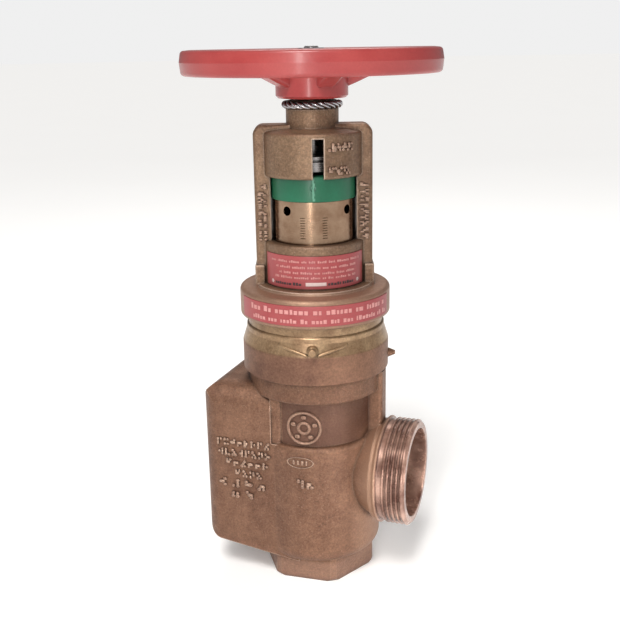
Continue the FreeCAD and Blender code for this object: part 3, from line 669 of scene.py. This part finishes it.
def throat_emblem():
    """Two plain rings with five blocks between them, where a founder's mark would be."""
    place = on_cylinder(THROAT_R, -83.0)
    points, faces = [], []
    raised_ring(points, faces, place, 0, EMBLEM_HEIGHT, 11.8 * MM, 2.4 * MM, 1.6 * MM)
    raised_ring(points, faces, place, 0, EMBLEM_HEIGHT, 4.0 * MM, 2.6 * MM, 1.4 * MM, steps=40)
    for number in range(5):
        angle = math.radians(72 * number + 18)
        raised_block(points, faces, place, EMBLEM_SPOT_R * math.cos(angle),
                     EMBLEM_HEIGHT + EMBLEM_SPOT_R * math.sin(angle), 4.0 * MM, 3.0 * MM, 1.3 * MM)
    make_piece("throat_emblem", points, faces, lit_mark_bronze, "valve_and_yoke")


def barrel_marks():
    """An oval with four blocks in it, and two characters below."""
    place = on_cylinder(BARREL_R, -86.0)
    draw = random.Random(5)
    points, faces = [], []
    raised_ring(points, faces, place, 0, OVAL_HEIGHT, 9.6 * MM, 1.1 * MM, 0.7 * MM, squeeze=0.42)
    for along in (-4.6, -1.4, 1.8, 4.8):
        raised_block(points, faces, place, along * MM, OVAL_HEIGHT, 1.6 * MM, 3.6 * MM, 0.7 * MM)
    for along in (0.2, 7.0):
        glyph(points, faces, place, along * MM, 82.5 * MM, 5.2 * MM, 6.8 * MM, 1.4 * MM, draw)
    make_piece("barrel_cast_marks", points, faces, lit_mark_bronze, "valve_and_yoke")


def bonnet_gussets():
    """Two shallow ribs that run up the bonnet's cone from its screw boss, in a flat V."""
    def place(along, up, out):
        share = min(1.0, max(0.0, (up - CONE_BOTTOM) / (CONE_TOP - CONE_BOTTOM)))
        radius = BONNET_SKIRT_R + (BONNET_RIM_R - BONNET_SKIRT_R) * share + out
        angle = math.radians(SCREW_ANGLE) + along / BONNET_SKIRT_R
        return Vector((radius * math.cos(angle), radius * math.sin(angle), up))

    points, faces = [], []
    steps, reach, start_up, climb = 24, 23.0 * MM, 181.4 * MM, 6.0 * MM
    half, lift, shoulder = 1.1 * MM, 1.1 * MM, 0.2 * MM
    section = ((-half, -SUNK), (-half, shoulder), (-half * 0.45, lift),
               (half * 0.45, lift), (half, shoulder), (half, -SUNK))
    size = len(section)
    for side in (-1, 1):
        start = len(points)
        for step in range(steps + 1):
            share = step / steps
            fade = 1.0 - share ** 3
            along, up = side * (3.4 * MM + reach * share), start_up + climb * share ** 0.8
            for across, out in section:
                points.append(place(along, up + across, out * fade if out > 0 else out))
        for step in range(steps):
            for corner in range(size):
                a = start + step * size + corner
                b = start + step * size + (corner + 1) % size
                quad = (a, b, b + size, a + size)
                faces.append(quad if side > 0 else quad[::-1])
        near = tuple(range(start, start + size))
        far = tuple(range(start + steps * size, start + (steps + 1) * size))
        faces.append(near[::-1] if side > 0 else near)
        faces.append(far if side > 0 else far[::-1])
    make_piece("bonnet_gussets", points, faces, bonnet_bronze, "valve_and_yoke")


def leg_marks():
    """Stacked raised characters on the front faces of the yoke's legs."""
    angle = math.radians(YOKE_TURN)
    along = Vector((math.cos(angle), math.sin(angle), 0))
    out = Vector((math.sin(angle), -math.cos(angle), 0))
    place = on_plane(out * LEG_FACE, along, out)
    draw = random.Random(23)
    points, faces = [], []
    for side in (-35.7, 35.2):
        for number in range(9):
            shift = draw.uniform(-0.4, 0.4)
            glyph(points, faces, place, (side + shift) * MM, (292.0 - 4.5 * number) * MM,
                  6.4 * MM, 4.0 * MM, 1.5 * MM, draw)
    make_piece("leg_cast_marks", points, faces, lit_mark_bronze, "valve_and_yoke")


def cup_marks():
    """Two short rows of raised strokes beside the travel slot."""
    place = on_cylinder(CUP_R, FRONT)
    draw = random.Random(37)
    points, faces = [], []
    for high, first, last, count in ((320.4, 20.0, 45.0, 5), (304.8, 20.0, 41.0, 4)):
        for number in range(count):
            angle = math.radians(first + (last - first) * number / (count - 1))
            glyph(points, faces, place, angle * CUP_R, high * MM, 4.4 * MM, 5.6 * MM, 1.4 * MM, draw)
    make_piece("cup_cast_marks", points, faces, lit_mark_bronze, "valve_and_yoke")


# ---------------------------------------------------------------- printed plates
def print_row(points, faces, place, first, last, up, tall, draw, letter, word_gap):
    """A row of small patches in word-like groups between two distances along the plate."""
    at = first
    while at < last:
        for _ in range(draw.randrange(2, 8)):
            width = letter * draw.uniform(0.55, 1.1)
            if at + width > last:
                return
            size = tall * draw.choice((0.72, 0.72, 1.0, 0.86))
            printed_patch(points, faces, place, at + width / 2, up - (tall - size) / 2, width, size)
            at += width + letter * 0.28
        at += word_gap


def cup_plate_print():
    """Four pale rows, then white marks and dark rows along the plate's foot."""
    place = on_cylinder(CUP_PLATE_R, FRONT)
    draw = random.Random(71)
    points, faces = [], []
    rows = ((243.6, -35.0, 37.0), (239.6, -30.0, 33.0), (235.8, -27.0, 31.0), (232.4, -31.0, 33.0))
    for high, first, last in rows:
        print_row(points, faces, place, first * MM, last * MM, high * MM, 1.7 * MM,
                  draw, 1.25 * MM, 1.3 * MM)
    make_piece("cup_plate_text_rows", points, faces, print_pale, "valve_and_yoke", False)
    points, faces = [], []
    printed_patch(points, faces, place, 0.6 * MM, CUP_PLATE_FOOT, 14.5 * MM, 2.5 * MM)
    for along in (-34.0, 34.6):
        for row, width in ((-1.0, 1.8), (0.0, 2.9), (1.0, 1.8)):
            printed_patch(points, faces, place, along * MM, CUP_PLATE_FOOT + row * 0.8 * MM,
                          width * MM, 0.82 * MM)
    make_piece("cup_plate_white_marks", points, faces, print_white, "valve_and_yoke", False)
    points, faces = [], []
    for first, last in ((-31.0, -8.0), (9.0, 32.0)):
        print_row(points, faces, place, first * MM, last * MM, CUP_PLATE_FOOT, 2.1 * MM,
                  draw, 1.9 * MM, 0.7 * MM)
    make_piece("cup_plate_black_marks", points, faces, print_black, "valve_and_yoke", False)


def flange_plate_print():
    """Two pale rows round the flange's plate."""
    place = on_cylinder(FLANGE_PLATE_R, FRONT)
    draw = random.Random(97)
    points, faces = [], []
    print_row(points, faces, place, -52.0 * MM, 60.0 * MM, 213.2 * MM, 4.0 * MM,
              draw, 3.0 * MM, 2.6 * MM)
    print_row(points, faces, place, -50.0 * MM, 61.0 * MM, 206.6 * MM, 3.2 * MM,
              draw, 2.3 * MM, 2.2 * MM)
    make_piece("flange_plate_text_rows", points, faces, print_pale, "valve_and_yoke", False)


def index_line():
    """Pale index line painted down the front of the setting ring."""
    low, high = (Vector(corner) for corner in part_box("setting_ring"))
    place = on_cylinder((high.x - low.x) / 2, FRONT - 0.5)
    middle = (low.z + high.z) / 2
    points, faces = [], []
    tall = high.z - low.z - 1.6 * MM
    for step, wobble in enumerate((0.25, -0.1, 0.15, 0.0, -0.2, 0.1, 0.3, -0.15, 0.05)):
        printed_patch(points, faces, place, wobble * MM, middle + tall * (step - 4) / 9,
                      (1.5 + wobble) * MM, tall / 9 + 0.02 * MM, 0.05 * MM)
    make_piece("setting_ring_index_line", points, faces, line_paint, "adjuster", False)


tamper_wire()
spring_half("main_spring_lower_half", 0.0, SPRING_TURNS / 2)
spring_half("main_spring_upper_half", SPRING_TURNS / 2, SPRING_TURNS)
passage_marks()
throat_emblem()
barrel_marks()
bonnet_gussets()
leg_marks()
cup_marks()
cup_plate_print()
flange_plate_print()
index_line()


# ---------------------------------------------------------------- studio
def studio_floor():
    """Plain pale floor under the valve."""
    look = Look("studio_floor", 0.0, 0.9, Specular_IOR_Level=0.1, Emission_Color=(1.0, 1.0, 1.0, 1.0),
                Emission_Strength=0.14)
    cloud = look.spread(look.noise(3, 2), 0.3, 0.7)
    look.colour(look.mix(cloud, (0.95, 0.95, 0.95, 1.0), (0.96, 0.96, 0.96, 1.0)))
    radius, steps = 30.0, 96
    points = [Vector((0, 0, 0))]
    for step in range(steps):
        angle = 2 * math.pi * step / steps
        points.append(Vector((radius * math.cos(angle), radius * math.sin(angle), 0)))
    faces = [(0, k + 1, (k + 1) % steps + 1) for k in range(steps)]
    mesh = bpy.data.meshes.new("studio_floor")
    mesh.from_pydata(points, [], faces)
    mesh.materials.append(look.material)
    floor = bpy.data.objects.new("studio_floor", mesh)
    bpy.context.scene.collection.objects.link(floor)
    floor.location.z = -0.05 * MM


def soft_light(name, azimuth, elevation, distance, size, power, aim=(0.0, 0.0, 0.2), spread=180):
    """Area light at a distance from the point it is aimed at; azimuth 0 stands on the -Y side."""
    away = direction(azimuth, elevation)
    light = bpy.data.lights.new(name, "AREA")
    light.shape = "RECTANGLE"
    light.size, light.size_y = size
    light.energy = power
    light.color = (1.0, 0.975, 0.945)
    light.spread = math.radians(spread)
    place_light(name, light, Vector(aim) + away * distance, away)


def wide_sun(name, azimuth, elevation, strength, spread, colour):
    """Even light with no falloff, so the pale floor stays even out to the horizon."""
    away = direction(azimuth, elevation)
    light = bpy.data.lights.new(name, "SUN")
    light.energy = strength
    light.angle = math.radians(spread)
    light.color = colour
    place_light(name, light, away * 2, away)


def direction(azimuth, elevation):
    """Unit vector towards an azimuth, which is 0 on the -Y side, and an elevation in degrees."""
    turn, rise = math.radians(azimuth), math.radians(elevation)
    return Vector((math.sin(turn) * math.cos(rise), -math.cos(turn) * math.cos(rise), math.sin(rise)))


def place_light(name, light, where, away):
    """Put a light somewhere, shining against the direction it stands in."""
    holder = bpy.data.objects.new(name, light)
    holder.location = where
    holder.rotation_euler = (-away).to_track_quat("-Z", "Y").to_euler()
    bpy.context.scene.collection.objects.link(holder)


def studio_world():
    """Pale backdrop; it lights the valve less than it shows, as a white sheet far behind would."""
    world = bpy.data.worlds.new("studio_world")
    world.use_nodes = True
    tree = world.node_tree
    background = tree.nodes["Background"]
    seen = tree.nodes.new("ShaderNodeLightPath").outputs["Is Camera Ray"]
    strength = tree.nodes.new("ShaderNodeMapRange")
    tree.links.new(seen, strength.inputs["Value"])
    strength.inputs["To Min"].default_value = 0.22
    strength.inputs["To Max"].default_value = 0.87
    tree.links.new(strength.outputs["Result"], background.inputs["Strength"])
    background.inputs["Color"].default_value = (1.0, 1.0, 1.0, 1.0)
    bpy.context.scene.world = world


def photo_camera():
    """Camera in front of the yoke, a little above the valve's middle and tilted down."""
    azimuth, tilt, roll = math.radians(20.0), math.radians(15.92), math.radians(1.0)
    distance, aside, height = 0.652, 0.0039, 0.3855
    back = Vector((math.sin(azimuth), -math.cos(azimuth), 0))
    right = Vector((math.cos(azimuth), math.sin(azimuth), 0))
    data = bpy.data.cameras.new("photo_camera")
    data.lens = 53.8
    data.sensor_width = 36.0
    data.clip_start = 0.02
    data.clip_end = 60.0
    camera = bpy.data.objects.new("photo_camera", data)
    look_along = -back * math.cos(tilt) - Vector((0, 0, math.sin(tilt)))
    turned = look_along.to_track_quat("-Z", "Y").to_matrix() @ Matrix.Rotation(-roll, 3, "Z")
    where = back * distance - right * aside + Vector((0, 0, height))
    camera.matrix_world = Matrix.Translation(where) @ turned.to_4x4()
    bpy.context.scene.collection.objects.link(camera)
    bpy.context.scene.camera = camera


studio_floor()
studio_world()
photo_camera()
wide_sun("key_sun", 4, 58, 2.15, 20, (1.0, 0.98, 0.95))
soft_light("front_strip", 10, 18, 1.0, (0.06, 0.8), 3.8)
soft_light("outlet_card", 52, 4, 0.40, (0.10, 0.10), 0.045, aim=(0.05, -0.02, 0.075), spread=34)
soft_light("back_softbox", 195, 50, 1.6, (0.8, 0.6), 7)
bpy.context.scene.view_settings.view_transform = "Standard"
